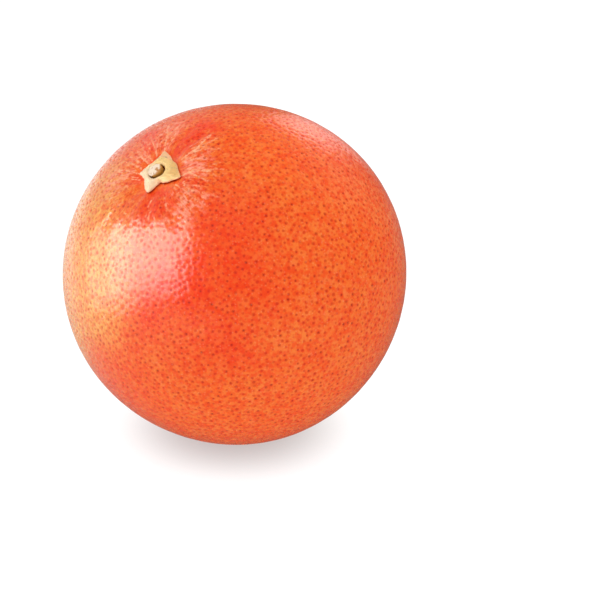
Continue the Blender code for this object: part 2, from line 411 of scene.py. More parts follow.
class Effects:
    """Node groups that several finishes share, each built once."""

    def __init__(self, form: PeelForm) -> None:
        """Build the groups.

        Args:
            form: The peel, for where the stem axis runs.
        """
        self.stem_frame = self._stem_frame(form)
        self.grain = self._grain()
        self.flecks = self._flecks()

    @staticmethod
    def _start(
        name: str, inputs: dict[str, float | None], outputs: dict[str, str]
    ) -> tuple[NodeTree, Wiring, Any, Node]:
        """Make an empty group with its sockets.

        Args:
            name: Name of the group.
            inputs: Name of each input and its value at the start, or None for a vector.
            outputs: Name and socket type of each output.

        Returns:
            The group, its wiring, the sockets of its inputs and its output node.
        """
        tree = bpy.data.node_groups.new(name, "ShaderNodeTree")
        for label, value in inputs.items():
            kind = VECTOR_SOCKET if value is None else NUMBER_SOCKET
            made = tree.interface.new_socket(label, in_out="INPUT", socket_type=kind)
            if value is not None:
                made.default_value = value
        for label, kind in outputs.items():
            tree.interface.new_socket(label, in_out="OUTPUT", socket_type=kind)
        wiring = Wiring(tree)
        return tree, wiring, wiring.add("NodeGroupInput").outputs, wiring.add("NodeGroupOutput")

    def _stem_frame(self, form: PeelForm) -> NodeTree:
        """Build the group that gives heading and distance from the stem axis.

        Args:
            form: The peel, for where the stem axis runs.

        Returns:
            The group. Facing is the direction from the fruit's centre, Around a unit vector
            round the stem axis, Arc the distance along the peel from it in millimetres, and
            Across the straight distance from it in millimetres.
        """
        kinds = {"Facing": VECTOR_SOCKET, "Around": VECTOR_SOCKET}
        kinds |= {"Arc": NUMBER_SOCKET, "Across": NUMBER_SOCKET}
        tree, wiring, given, out = self._start("stem_frame", {"Place": None}, kinds)
        offset = wiring.vector("SUBTRACT", {0: given["Place"], 1: form.centre}).outputs[0]
        turned = {
            "Vector": given["Place"],
            "Location": form.centre,
            "Rotation": (0.0, form.lean, form.heading),
        }
        own = wiring.add("ShaderNodeMapping", turned, vector_type="TEXTURE").outputs[0]
        level = wiring.vector("MULTIPLY", {0: own, 1: (1.0, 1.0, 0.0)}).outputs[0]
        across = wiring.vector("LENGTH", {0: level}).outputs["Value"]
        height = wiring.add("ShaderNodeSeparateXYZ", {0: own}).outputs["Z"]
        polar = wiring.number("ARCTAN2", across, height)
        wiring.plug(
            out,
            {
                "Facing": wiring.vector("NORMALIZE", {0: offset}).outputs[0],
                "Around": wiring.vector("NORMALIZE", {0: level}).outputs[0],
                "Arc": wiring.times(polar, form.mean / MM),
                "Across": wiring.times(across, 1 / MM),
            },
        )
        return tree

    def _grain(self) -> NodeTree:
        """Build the group for fine relief: two sizes of noise as one height.

        Returns:
            The group.
        """
        tree, wiring, given, out = self._start(
            "fine_grain",
            {"Place": None, "Coarse Scale": 300.0, "Fine Scale": 1200.0, "Fine Share": 0.4},
            {"Height": NUMBER_SOCKET},
        )
        coarse = wiring.noise(given["Place"], given["Coarse Scale"])
        fine = wiring.noise(given["Place"], given["Fine Scale"])
        height = wiring.plus(coarse, wiring.times(fine, given["Fine Share"]))
        wiring.plug(out, {"Height": height})
        return tree

    def _flecks(self) -> NodeTree:
        """Build the group for scattered flecks: round spots in some cells of a net.

        Returns:
            The group.
        """
        tree, wiring, given, out = self._start(
            "flecks",
            {"Place": None, "Scale": 600.0, "Size": 0.3, "Share": 0.5},
            {"Mask": NUMBER_SOCKET},
        )
        plugs = {"Vector": given["Place"], "Scale": given["Scale"]}
        cells = wiring.add("ShaderNodeTexVoronoi", plugs).outputs
        spot = wiring.rise(cells["Distance"], given["Size"], wiring.times(given["Size"], 0.5))
        draw = wiring.add("ShaderNodeSeparateColor", {0: cells["Color"]}).outputs[0]
        there = wiring.number("LESS_THAN", draw, given["Share"])
        wiring.plug(out, {"Mask": wiring.times(spot, there)})
        return tree


class Dressing(Wiring):
    """The nodes of one material, with its shader and the shared effects at hand."""

    def __init__(self, name: str, effects: Effects | None = None) -> None:
        """Make the material.

        Args:
            name: Name of the material.
            effects: The shared node groups, for a material of the fruit.
        """
        self.material = bpy.data.materials.new(name)
        self.material.use_nodes = True
        super().__init__(self.material.node_tree)
        self.shader = self.tree.nodes["Principled BSDF"]
        self.place = self.add("ShaderNodeTexCoord").outputs["Object"]
        self.effects = effects
        if effects:
            self.stem = self.group(effects.stem_frame, {"Place": self.place}).outputs

    def cloud(self, scale: float, detail: float = 2.0, roughness: float = 0.5) -> Socket:
        """Add noise over the piece."""
        return self.noise(self.place, scale, detail, roughness)

    def patchy(
        self, scale: float, detail: float, roughness: float, low: float, high: float
    ) -> Socket:
        """Add patches: noise over the piece, graded from low to high."""
        return self.rise(self.cloud(scale, detail, roughness), low, high)

    def stored(self, name: str) -> Socket:
        """Read the numbers that are stored on the piece's points under a name."""
        return self.add("ShaderNodeAttribute", attribute_name=name).outputs["Fac"]

    def side(self, heading: float) -> Socket:
        """Give the cosine of the angle round the stem axis from a heading in degrees."""
        turn = math.radians(heading)
        return self.dot(self.stem["Around"], (math.cos(turn), math.sin(turn), 0.0))

    def towards(self, heading: float, low: float, high: float) -> Socket:
        """Rise towards a heading in degrees, as that cosine goes from low to high."""
        return self.rise(self.side(heading), low, high)

    def spots(self, scale: float, size: float, share: float) -> Socket:
        """Scatter flecks and return their mask."""
        plugs = {"Place": self.place, "Scale": scale, "Size": size, "Share": share}
        return self.group(self.effects.flecks, plugs).outputs["Mask"]

    def grain(self, coarse: float, fine: float, share: float) -> Socket:
        """Lay fine relief and return its height."""
        plugs = {"Coarse Scale": coarse, "Fine Scale": fine, "Fine Share": share}
        return self.group(self.effects.grain, plugs | {"Place": self.place}).outputs["Height"]

    def emboss(self, height: Socket, strength: float, distance: float) -> None:
        """Raise the surface by a height, through a Bump node."""
        plugs = {"Strength": strength, "Distance": distance, "Height": height}
        self.plug(self.shader, {"Normal": self.add("ShaderNodeBump", plugs).outputs[0]})


class Tone(Enum):
    """Colours that whole patches of the peel take."""

    ORANGE = (0.91, 0.115, 0.014, 1.0)
    RED = (0.90, 0.036, 0.005, 1.0)
    YELLOW = (0.90, 0.320, 0.058, 1.0)
    SALMON = (0.91, 0.190, 0.060, 1.0)


@dataclass(frozen=True)
class PeelFinish:
    """Waxy citrus peel: orange-red with deeper and yellower patches, pores, pale streaks that are
    partly painted highlight, and a painted shadow beside the calyx.
    """

    deep: Colour = (0.96, 0.56, 0.45, 1.0)
    bright: Colour = (1.02, 1.40, 1.50, 1.0)
    pore_shade: Colour = (0.80, 0.47, 0.29, 1.0)
    pore_heart: Colour = (0.50, 0.60, 0.85, 1.0)
    streak_deep: Colour = (0.93, 0.60, 0.50, 1.0)
    streak_bright: Colour = (1.02, 1.34, 1.45, 1.0)
    cream: Colour = (1.0, 0.50, 0.27, 1.0)
    pink: Colour = (1.0, 0.31, 0.20, 1.0)
    # Painted shadow: dark red laid beside the calyx's edge
    shade: Colour = (0.42, 0.018, 0.006, 1.0)
    scar: Colour = (0.32, 0.13, 0.05, 1.0)
    roughness: float = 0.21
    specular: float = 0.13
    coat: float = 0.48
    coat_roughness: float = 0.15
    scar_start: float = 177.4
    scar_band: float = 1.4
    scar_ragged: float = 3.0
    scar_scale: float = 700.0

    # How much each layer shows
    mottle_share: float = 0.80
    pore_share: float = 0.85
    fleck_share: float = 0.40
    speck_share: float = 0.1225
    streak_share: float = 0.85
    vein_share: float = 0.88
    calyx_shadow_share: float = 0.85

    # How much duller the pores are, how much less waxed, and how much the gloss wavers
    pore_dull: float = 0.16
    pore_bare: float = 0.40
    waver: float = 0.10
    waver_scale: float = 260.0

    # Grain: coarse and fine scale, share of the fine; its relief: strength and height in metres
    grain: Trio = (380.0, 1400.0, 0.40)
    relief: Pair = (0.45, 0.0002)

    # Noise that breaks up the layers: scale, detail, roughness, where it starts and is full
    mottle: Cloud = (560.0, 3.0, 0.65, 0.36, 0.64)
    red_mask: Cloud = (420.0, 3.0, 0.65, 0.28, 0.56)
    pink_mask: Cloud = (300.0, 3.0, 0.6, 0.40, 0.58)
    vein_gaps: Cloud = (640.0, 2.0, 0.6, 0.30, 0.55)

    # Values at which a mark starts and is full
    pore_seen: Pair = (0.0, 0.24)
    heart_seen: Pair = (0.45, 0.85)
    vein_seen: Pair = (0.03, 0.75)
    vein_whole: Pair = (0.45, 0.95)
    ray_seen: Pair = (0.40, 0.60)
    streak_seen: Pair = (0.36, 0.64)

    # Finer marks between the pores: scale, size and share of the cells
    flecks: Trio = (760.0, 0.40, 0.40)
    specks: Trio = (1050.0, 0.36, 0.40)

    # Rays round the calyx: how close, how often they break off per mm, roughness of the noise
    pink_rays: Trio = (13.0, 0.30, 0.65)
    streak_rays: Trio = (36.0, 0.75, 0.6)
    streak_ring: Band = (6.5, 9.0, 16.0, 30.0)

    # Drift of the patches' borders: scale and detail of the noise
    drift: Pair = (34.0, 3.0)

    # Clouds over the whole peel: scale and detail of the noise, where it starts and ends,
    # colour and how much of it
    clouds: tuple[tuple[float, float, float, float, Tone, float], ...] = (
        (95.0, 3.0, 0.30, 0.72, Tone.YELLOW, 0.18),
        (330.0, 2.0, 0.42, 0.75, Tone.SALMON, 0.30),
    )

    # Patches: middle as a direction, cosine from it at the border and where they are full,
    # colour and how ragged
    patches: tuple[tuple[Place, float, float, Tone, float], ...] = (
        ((-0.16, -0.92, 0.34), 0.85, 1.03, Tone.RED, 0.30),
        ((0.55, 0.75, 0.35), 0.60, 1.00, Tone.RED, 0.45),
        ((-0.95, -0.25, 0.15), 0.70, 0.98, Tone.YELLOW, 0.20),
        ((-0.88, -0.46, -0.02), 0.88, 0.99, Tone.YELLOW, 0.12),
        ((-0.61, -0.66, -0.44), 0.90, 1.00, Tone.ORANGE, 0.15),
        ((0.35, 0.55, -0.75), 0.55, 1.00, Tone.YELLOW, 0.60),
        ((0.75, -0.10, 0.66), 0.80, 1.10, Tone.SALMON, 0.25),
        ((0.70, -0.05, 0.72), 0.80, 1.30, Tone.RED, 0.30),
    )

    # Softness of a zone: parts of its half width at which it ends and is full, and the mm that
    # it takes to start and to fade on either side of its end
    zone_beside: Pair = (1.5, 0.5)
    zone_along: Pair = (2.0, 2.5)

    # Zones round the calyx: heading and half width in degrees, start and end in mm from the
    # stem axis, and how strong
    red_zones: tuple[Zone, ...] = (
        (38.0, 22.0, 6.0, 18.0, 0.75),
        (173.0, 13.0, 6.0, 26.0, 0.75),
        (-128.0, 9.0, 9.0, 26.0, 0.60),
        (-56.0, 13.0, 6.0, 10.5, 0.70),
        (92.0, 7.0, 9.0, 18.0, 0.50),
    )
    pink_zones: tuple[Zone, ...] = (
        (126.0, 20.0, 8.0, 18.0, 0.95),
        (76.0, 13.0, 10.0, 24.0, 0.85),
        (58.0, 14.0, 16.0, 24.0, 0.80),
        (-62.0, 17.0, 9.0, 21.0, 0.75),
        (-150.0, 15.0, 8.0, 26.0, 0.80),
        (-108.0, 14.0, 7.0, 14.0, 0.75),
        (10.0, 15.0, 14.0, 22.0, 0.50),
    )

    def material(self, effects: Effects) -> Material:
        """Build the material.

        Args:
            effects: The shared node groups.

        Returns:
            The peel's material.
        """
        peel = Dressing("peel", effects)
        pore = peel.stored("pore")
        spot = peel.rise(pore, *self.pore_seen)
        colour = self._zones(peel, self._ground(peel))
        colour = self._streaks(peel, self._pores(peel, pore, spot, colour))
        peel.emboss(peel.grain(*self.grain), *self.relief)
        wavering = peel.times(peel.cloud(self.waver_scale), self.waver)
        waxed = peel.number("SUBTRACT", 1.0, peel.times(spot, self.pore_bare))
        plugs = {
            "Base Color": colour,
            "Roughness": peel.plus(peel.times(spot, self.pore_dull), wavering, self.roughness),
            "Coat Weight": peel.times(waxed, self.coat),
            "Coat Roughness": self.coat_roughness,
            "Specular IOR Level": self.specular,
        }
        peel.plug(peel.shader, plugs)
        return peel.material

    def _ground(self, peel: Dressing) -> Socket:
        """Colour the peel between its pores: red and yellow patches over orange.

        Args:
            peel: The peel's nodes.

        Returns:
            The colour.
        """
        orange = colour = Tone.ORANGE.value
        for scale, detail, low, high, tone, part in self.clouds:
            mixed = tuple((1 - part) * a + part * b for a, b in zip(orange, tone.value))
            colour = peel.tint(peel.patchy(scale, detail, 0.6, low, high), colour, mixed)
        drift = peel.number("SUBTRACT", peel.cloud(*self.drift), 0.5)
        for towards, low, high, tone, sway in self.patches:
            near = peel.dot(peel.stem["Facing"], tuple(Vector(towards).normalized()))
            near = peel.plus(near, peel.times(drift, sway))
            colour = peel.tint(peel.rise(near, low, high), colour, tone.value)
        mottle = peel.tint(peel.patchy(*self.mottle), self.deep, self.bright)
        return peel.tint(self.mottle_share, colour, mottle, "MULTIPLY")

    def _zone(
        self, peel: Dressing, heading: float, half: float, near: float, far: float
    ) -> Socket:
        """Mark a zone round the stem, soft at its borders.

        Args:
            peel: The peel's nodes.
            heading: Middle of the zone round the axis, in degrees.
            half: Half its width, in degrees.
            near: Where it starts, in mm from the axis along the peel.
            far: Where it ends, likewise.

        Returns:
            1 in the zone, 0 outside.
        """
        outer, inner = (math.cos(math.radians(half * part)) for part in self.zone_beside)
        onset, fade = self.zone_along
        along = peel.band(peel.stem["Arc"], near, near + onset, far - fade, far + fade)
        return peel.times(peel.towards(heading, outer, inner), along)

    @staticmethod
    def _rays(peel: Dressing, count: float, breaks: float, roughness: float) -> Socket:
        """Draw rays that run out from the stem, as noise.

        Args:
            peel: The peel's nodes.
            count: How close the rays stand.
            breaks: How often they break off, per mm.
            roughness: Roughness of the noise.

        Returns:
            The noise's value.
        """
        plugs = {0: peel.stem["Around"], "Scale": count}
        spread = peel.vector("SCALE", plugs).outputs[0]
        along = peel.add("ShaderNodeCombineXYZ", {"Z": peel.times(peel.stem["Arc"], breaks)})
        place = peel.vector("ADD", {0: spread, 1: along.outputs[0]}).outputs[0]
        return peel.noise(place, 1.0, 3.0, roughness)

    def _zones(self, peel: Dressing, colour: Socket) -> Socket:
        """Colour the peel round the calyx: smooth red zones, pink ones of short rays that are
        partly painted highlight, streaks.

        Args:
            peel: The peel's nodes.
            colour: The peel so far.

        Returns:
            The colour with its zones.
        """
        rays = peel.rise(self._rays(peel, *self.pink_rays), *self.ray_seen)
        for zones, mask, tone in (
            (self.red_zones, peel.patchy(*self.red_mask), Tone.RED.value),
            (self.pink_zones, peel.times(rays, peel.patchy(*self.pink_mask)), self.pink),
        ):
            for *zone, weight in zones:
                colour = peel.lay(colour, tone, self._zone(peel, *zone), mask, weight)
        stroke = peel.rise(self._rays(peel, *self.streak_rays), *self.streak_seen)
        tone = peel.tint(stroke, self.streak_deep, self.streak_bright)
        ring = peel.times(peel.band(peel.stem["Arc"], *self.streak_ring), self.streak_share)
        return peel.tint(ring, colour, tone, "MULTIPLY")

    def _pores(self, peel: Dressing, pore: Socket, spot: Socket, colour: Socket) -> Socket:
        """Darken the pores and strew finer flecks between them.

        Args:
            peel: The peel's nodes.
            pore: Nearness to a pore's middle, more in the strong ones.
            spot: 1 in a pore, 0 between them.
            colour: The peel so far.

        Returns:
            The colour with its pores.
        """
        dark = peel.tint(1.0, colour, self.pore_shade, "MULTIPLY")
        colour = peel.lay(colour, dark, spot, self.pore_share)
        heart = peel.rise(pore, *self.heart_seen)
        colour = peel.tint(heart, colour, self.pore_heart, "MULTIPLY")
        colour = peel.lay(colour, dark, peel.spots(*self.flecks), self.fleck_share)
        return peel.lay(colour, self.cream, peel.spots(*self.specks), self.speck_share)

    def _streaks(self, peel: Dressing, colour: Socket) -> Socket:
        """Lay the pale veins over the peel, partly painted highlight, its painted shadow beside the
        calyx and its far scar.

        Args:
            peel: The peel's nodes.
            colour: The peel so far.

        Returns:
            The colour with its streaks and, at the other end, its scar.
        """
        vein = peel.stored("vein")
        gaps = peel.patchy(*self.vein_gaps)
        shown = peel.number("MAXIMUM", gaps, peel.rise(vein, *self.vein_whole))
        # The veins' cream is partly their own pale colour and partly painted highlight where the
        # creases catch the light
        pale = peel.rise(vein, *self.vein_seen)
        colour = peel.lay(colour, self.cream, pale, shown, self.vein_share)
        # Painted shadow: dark red beside the calyx's edge, widest on the sides away from the lamps
        colour = peel.lay(colour, self.shade, peel.stored("under"), self.calyx_shadow_share)
        far = peel.plus(peel.stem["Arc"], peel.times(peel.cloud(self.scar_scale), self.scar_ragged))
        scarred = peel.rise(far, self.scar_start, self.scar_start + self.scar_band)
        return peel.tint(scarred, colour, self.scar)


@dataclass(frozen=True)
class CalyxFinish:
    """Dry leathery sepals: cream to straw yellow with grey-green and brown flecks, and painted
    light: creamier towards the lamps, khaki shade and a dark hollow away from them.
    """

    straw: Colour = (0.83, 0.54, 0.19, 1.0)
    cream: Colour = (0.85, 0.62, 0.38, 1.0)
    tan: Colour = (0.81, 0.45, 0.24, 1.0)
    # Painted shade on the lobes away from the lamps
    khaki_shade: Colour = (0.71, 0.36, 0.095, 1.0)
    rim: Colour = (0.84, 0.40, 0.22, 1.0)
    moss: Colour = (0.50, 0.41, 0.17, 1.0)
    bark: Colour = (0.24, 0.10, 0.012, 1.0)
    # Painted light: heading of the side towards the lamps, where the lobes turn cream
    lit_cream_side: float = -30.0

    # Borders of the cream and the rim: scale, detail and height of the noise, and where each
    # starts and is full
    cream_noise: Trio = (330.0, 3.0, 1.2)
    cream_seen: Pair = (0.0, 1.3)
    rim_noise: Trio = (900.0, 2.0, 0.35)
    rim_seen: Pair = (0.55, 1.15)

    # Sides: heading in degrees, and the cosines from it at which they start and are full; the khaki
    # and hollow sides take painted shade
    tan_side: Trio = (-158.0, 0.78, 0.94)
    khaki_shade_side: Trio = (118.0, 0.50, 0.95)
    hollow_shade_side: Trio = (60.0, -0.35, 0.25)

    # Noise of the cracks and stains: scale, detail, roughness, where it starts and is full
    cracks: Cloud = (1300.0, 2.0, 0.6, 0.48, 0.60)
    stains: Cloud = (620.0, 3.0, 0.65, 0.54, 0.72)

    # Bands in mm from the stem axis: start, full, fading and end
    # The dish band holds the painted khaki shade
    shaded_dish: Band = (4.3, 5.6, 7.2, 9.0)
    seam: Band = (5.2, 5.5, 5.6, 6.0)
    tip: Pair = (4.9, 5.5)
    wall: Pair = (3.05, 2.70)

    # How much each layer shows
    shaded_dish_share: float = 0.62
    tip_share: float = 0.85
    seam_share: float = 0.75
    stain_share: float = 0.42
    rim_share: float = 0.65

    # Flecks: scale, size and share of the cells, and how much they show
    moss_flecks: Band = (1400.0, 0.42, 0.40, 0.50)
    bark_flecks: Band = (2300.0, 0.38, 0.18, 0.55)

    # Grain: coarse and fine scale, share of the fine; its relief: strength and height in metres
    grain: Trio = (900.0, 2600.0, 0.5)
    relief: Pair = (0.6, 0.0003)
    roughness: Pair = (0.45, 0.15)

    def material(self, effects: Effects) -> Material:
        """Build the material.

        Args:
            effects: The shared node groups.

        Returns:
            The calyx's material.
        """
        calyx = Dressing("calyx", effects)
        across = calyx.stem["Across"]
        # Painted light: cream on the side towards the lamps, straw yellow away from it
        *noisy, ragged = self.cream_noise
        lit_creamy = calyx.plus(calyx.side(self.lit_cream_side), calyx.times(calyx.cloud(*noisy), ragged))
        colour = calyx.tint(calyx.rise(lit_creamy, *self.cream_seen), self.straw, self.cream)
        far, top = calyx.towards(*self.khaki_shade_side), calyx.towards(*self.tan_side)
        # Painted shade: khaki on the lobes' far side from the lamps
        shaded_dish = calyx.band(across, *self.shaded_dish)
        colour = calyx.lay(colour, self.khaki_shade, shaded_dish, far, self.shaded_dish_share)
        tip = calyx.rise(across, *self.tip)
        colour = calyx.lay(colour, self.tan, top, tip, self.tip_share)
        seam = calyx.times(calyx.band(across, *self.seam), top)
        colour = calyx.lay(colour, self.bark, seam, calyx.patchy(*self.cracks), self.seam_share)
        colour = calyx.lay(colour, self.moss, calyx.patchy(*self.stains), self.stain_share)
        for tone, (*spots, share) in ((self.moss, self.moss_flecks), (self.bark, self.bark_flecks)):
            colour = calyx.lay(colour, tone, calyx.spots(*spots), share)
        # Painted shade: dark brown in the hollow by the stalk, on the side away from the lamps
        hollow_shade = calyx.times(calyx.rise(across, *self.wall), calyx.towards(*self.hollow_shade_side))
        colour = calyx.lay(colour, self.bark, hollow_shade)
        *noisy, ragged = self.rim_noise
        worn = calyx.plus(calyx.stored("edge"), calyx.times(calyx.cloud(*noisy), ragged))
        colour = calyx.lay(colour, self.rim, calyx.rise(worn, *self.rim_seen), self.rim_share)
        grain = calyx.grain(*self.grain)
        calyx.emboss(grain, *self.relief)
        smoothest, spread = self.roughness
        rough = calyx.plus(calyx.times(grain, spread), smoothest)
        calyx.plug(calyx.shader, {"Base Color": colour, "Roughness": rough})
        return calyx.material


@dataclass(frozen=True)
class StubFinish:
    """Cut stalk: pale face with rays and cracks, and brown bark round its side that is shown only
    on the shaded side as painted shade.
    """

    face: Colour = (0.88, 0.71, 0.54, 1.0)
    ray: Colour = (0.52, 0.22, 0.06, 1.0)
    bark: Colour = (0.40, 0.17, 0.016, 1.0)
    roughness: float = 0.7
    specular: float = 0.15
    # Painted shade: heading of the shaded side, the only side where the bark's brown shows
    shaded_bark_side: float = 95.0
    worn: float = 0.16
    face_over_lit_side: float = 0.75
    ragged: float = 1.1

    # Noise of the pith: scale, detail and roughness
    pith: Trio = (1500.0, 3.0, 0.6)

    # Values at which each layer starts and is full
    ray_seen: Pair = (0.40, 0.75)
    crack_seen: Pair = (0.54, 0.72)
    face_seen: Pair = (0.90, 1.12)
    worn_side: Pair = (-0.10, 0.90)
    face_over_lit_side_range: Pair = (0.30, -0.50)

    # Grain: coarse and fine scale, share of the fine; its relief: strength and height in metres
    grain: Trio = (1600.0, 4200.0, 0.5)
    relief: Pair = (0.6, 0.00015)

    def material(self, effects: Effects) -> Material:
        """Build the material.

        Args:
            effects: The shared node groups.

        Returns:
            The stub's material.
        """
        stub = Dressing("stem_stub", effects)
        pith = stub.cloud(*self.pith)
        side = stub.side(self.shaded_bark_side)
        bark = stub.tint(stub.rise(pith, *self.ray_seen), self.bark, self.ray)
        cracks = stub.plus(pith, stub.times(stub.rise(side, *self.worn_side), self.worn))
        face = stub.tint(stub.rise(cracks, *self.crack_seen), self.face, self.ray)
        # Painted shade: on the lit side the pale face runs down over the bark, so the brown shows
        # only on the shaded side
        face_over_lit_side = stub.times(stub.rise(side, *self.face_over_lit_side_range), self.face_over_lit_side)
        edge = stub.plus(stub.stored("cut"), stub.times(pith, self.ragged), face_over_lit_side)
        stub.emboss(stub.grain(*self.grain), *self.relief)
        plugs = {
            "Base Color": stub.tint(stub.rise(edge, *self.face_seen), bark, face),
            "Roughness": self.roughness,
            "Specular IOR Level": self.specular,
        }
        stub.plug(stub.shader, plugs)
        return stub.material


def add_piece(
    name: str,
    points: Array,
    faces: list[Any],
    material: Material,
    node: str,
) -> Object:
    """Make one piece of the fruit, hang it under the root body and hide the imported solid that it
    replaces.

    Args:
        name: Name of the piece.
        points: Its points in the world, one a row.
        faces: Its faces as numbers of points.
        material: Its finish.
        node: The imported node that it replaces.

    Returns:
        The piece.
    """
    data = bpy.data.meshes.new(name)
    data.from_pydata(points.tolist(), [], faces)
    data.shade_smooth()
    data.materials.append(material)
    piece = bpy.data.objects.new(name, data)
    bpy.context.scene.collection.objects.link(piece)
    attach(piece, "root")
    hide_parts(node)
    LOG.info("%s: %d points, %d faces", name, len(data.vertices), len(data.polygons))
    return piece


def add_values(piece: Object, name: str, values: Array) -> None:
    """Store one number for each point of a piece.

    Args:
        piece: The piece.
        name: Name that its material reads the numbers by.
        values: The numbers, in the order of the points.
    """
    made = piece.data.attributes.new(name, "FLOAT", "POINT")
    made.data.foreach_set("value", values.astype(np.float32))


@dataclass
class Fruit:
    """The fruit's peel as one closed mesh, with pores, creases and the veins by the stem."""

    form: PeelForm
    calyx: "Calyx"
    pore_spacing: float = 0.00155
    pore_radius: Pair = (0.00056, 0.00078)
    pore_depth: Pair = (0.00011, 0.00024)
    pore_start: Pair = (0.0085, 0.0150)
    pore_sides: int = 6
    pore_tries: int = 170000
    pore_chance: float = 0.02
    pore_grown: float = 0.35
    pore_faint: float = 0.16
    pore_strong: float = 1.15
    pore_young: float = 0.4
    pore_seed: int = 5
    fill_spacing: Pair = (0.00036, 0.00085)
    fill_reach: float = 0.030
    fill_fine_to: float = 0.013
    fill_under: Pair = (0.005, 0.0007)
    fill_start: float = 0.0002
    fill_stray: float = 0.22
    fill_clear: float = 0.0001
    fill_row: float = 0.87
    fill_seed: int = 6
    pole_clear: float = 0.0009
    join_within: float = 1e-9
    swell_height: float = 0.00005
    swells: tuple[Pair, ...] = ((13.0, 1.0), (31.0, 0.6))
    wrinkle_height: float = 0.00016
    wrinkles: tuple[Pair, ...] = ((1.0, 1.0), (2.3, 0.5))
    wrinkle_spokes: Pair = (6.0, 0.011)
    wrinkle_ring: Band = (0.005, 0.009, 0.012, 0.030)
    vein_height: float = 0.00005
    vein_width: Pair = (0.00017, 0.00028)
    vein_seed: int = 21
    vein_strength: float = 0.95
    vein_fade: float = 0.6
    vein_reach: float = 0.033
    faint_strength: Pair = (0.15, 0.75)
    faint_length: Pair = (0.0020, 0.0065)
    faint_bend: float = 7.0
    faint_knots: tuple[float, ...] = (0.0, 0.35, 0.7, 1.0)
    # Painted shadow beside the calyx: its width, softness and reach, widest at the shadow headings
    # away from the lamps
    calyx_shadow_width: Pair = (0.0004, 0.0015)
    calyx_shadow_soft: Pair = (-0.2, 1.0)
    calyx_shadow_reach: float = 0.013
    shadow_headings: Pair = (math.radians(50.0), math.radians(140.0))
    shadow_weights: Pair = (1.0, 0.7)
    bake_margin: float = 0.93

    # Tufts of faint veins: middle and half width in degrees, nearest and farthest start in
    # metres, and how many
    tufts: tuple[tuple[float, float, float, float, int], ...] = (
        (149.0, 13.0, 0.0080, 0.0190, 34),
        (110.0, 12.0, 0.0080, 0.0190, 30),
        (80.0, 12.0, 0.0095, 0.0210, 26),
        (-76.0, 16.0, 0.0080, 0.0220, 34),
        (-108.0, 18.0, 0.0070, 0.0180, 34),
        (-150.0, 13.0, 0.0095, 0.0210, 22),
        (44.0, 20.0, 0.0125, 0.0200, 14),
        (-30.0, 22.0, 0.0100, 0.0200, 14),
    )

    # Main veins beside the calyx: heading in degrees and distance along the peel in mm
    main_veins: tuple[tuple[Pair, ...], ...] = (
        ((-154.0, 8.6), (-153.0, 11.0), (-149.3, 17.3), (-145.0, 23.5), (-141.6, 29.8)),
        ((-150.0, 16.5), (-157.0, 20.0), (-158.4, 28.9)),
        ((-136.0, 8.2), (-135.3, 11.1), (-129.7, 20.1)),
        ((146.1, 8.8), (149.5, 12.0), (151.5, 14.9), (152.6, 18.7), (156.0, 25.0)),
        ((150.0, 12.5), (144.0, 16.0), (141.0, 21.0)),
        ((151.5, 14.9), (160.0, 19.0), (163.0, 23.0)),
        ((100.6, 8.4), (110.6, 11.6), (113.0, 16.9), (116.0, 22.5)),
        ((110.6, 11.6), (104.0, 15.0), (101.0, 19.5)),
        ((78.6, 9.8), (78.8, 15.0), (78.4, 21.7)),
        ((-73.1, 7.4), (-78.0, 12.0), (-80.5, 17.8), (-80.9, 24.1)),
        ((-52.0, 6.8), (-60.0, 10.0), (-68.2, 15.7), (-72.0, 21.0)),
        ((-121.2, 7.4), (-118.1, 11.9), (-116.0, 16.0)),
        ((-99.5, 9.6), (-99.5, 13.6), (-101.2, 20.0)),
        ((50.7, 10.8), (49.7, 16.6)),
        ((26.5, 10.8), (23.3, 13.5)),
        ((-61.0, 7.6), (-66.0, 11.0), (-71.5, 15.0), (-77.0, 20.5)),
        ((-88.0, 8.0), (-91.0, 12.5), (-91.5, 18.5)),
        ((-109.0, 7.8), (-108.0, 11.5), (-110.0, 15.5)),
    )

    def build(self, material: Material) -> Object:
        """Build the peel's mesh and its stored values.

        Args:
            material: The peel's finish.

        Returns:
            The piece.
        """
        pores = self._scatter_pores()
        directions, pore = self._points(pores)
        faces, directions, pore = self._cover(directions, pore)
        arc = self.form.arc(directions)
        heading = np.arctan2(directions[:, 1], directions[:, 0])
        vein = self._veins(arc, heading)
        radius = self.form.radius(directions) + self._relief(directions, arc, heading)
        radius += self.vein_height * vein - pore[:, 1]
        points = self.form.to_world(directions * radius[:, None])
        points[:, 2] = np.maximum(points[:, 2], 0.0)
        outward = to_unit(points - np.array(self.form.centre))
        faces = self._turn_outward(faces, outward)
        piece = add_piece("fruit_peel", points, faces.tolist(), material, "fruit")
        add_values(piece, "pore", pore[:, 0])
        add_values(piece, "vein", vein)
        # Painted shadow beside the calyx, read by the peel's finish
        add_values(piece, "under", self._calyx_shadow(arc, heading))
        self._unfold(piece, outward, faces)
        return piece

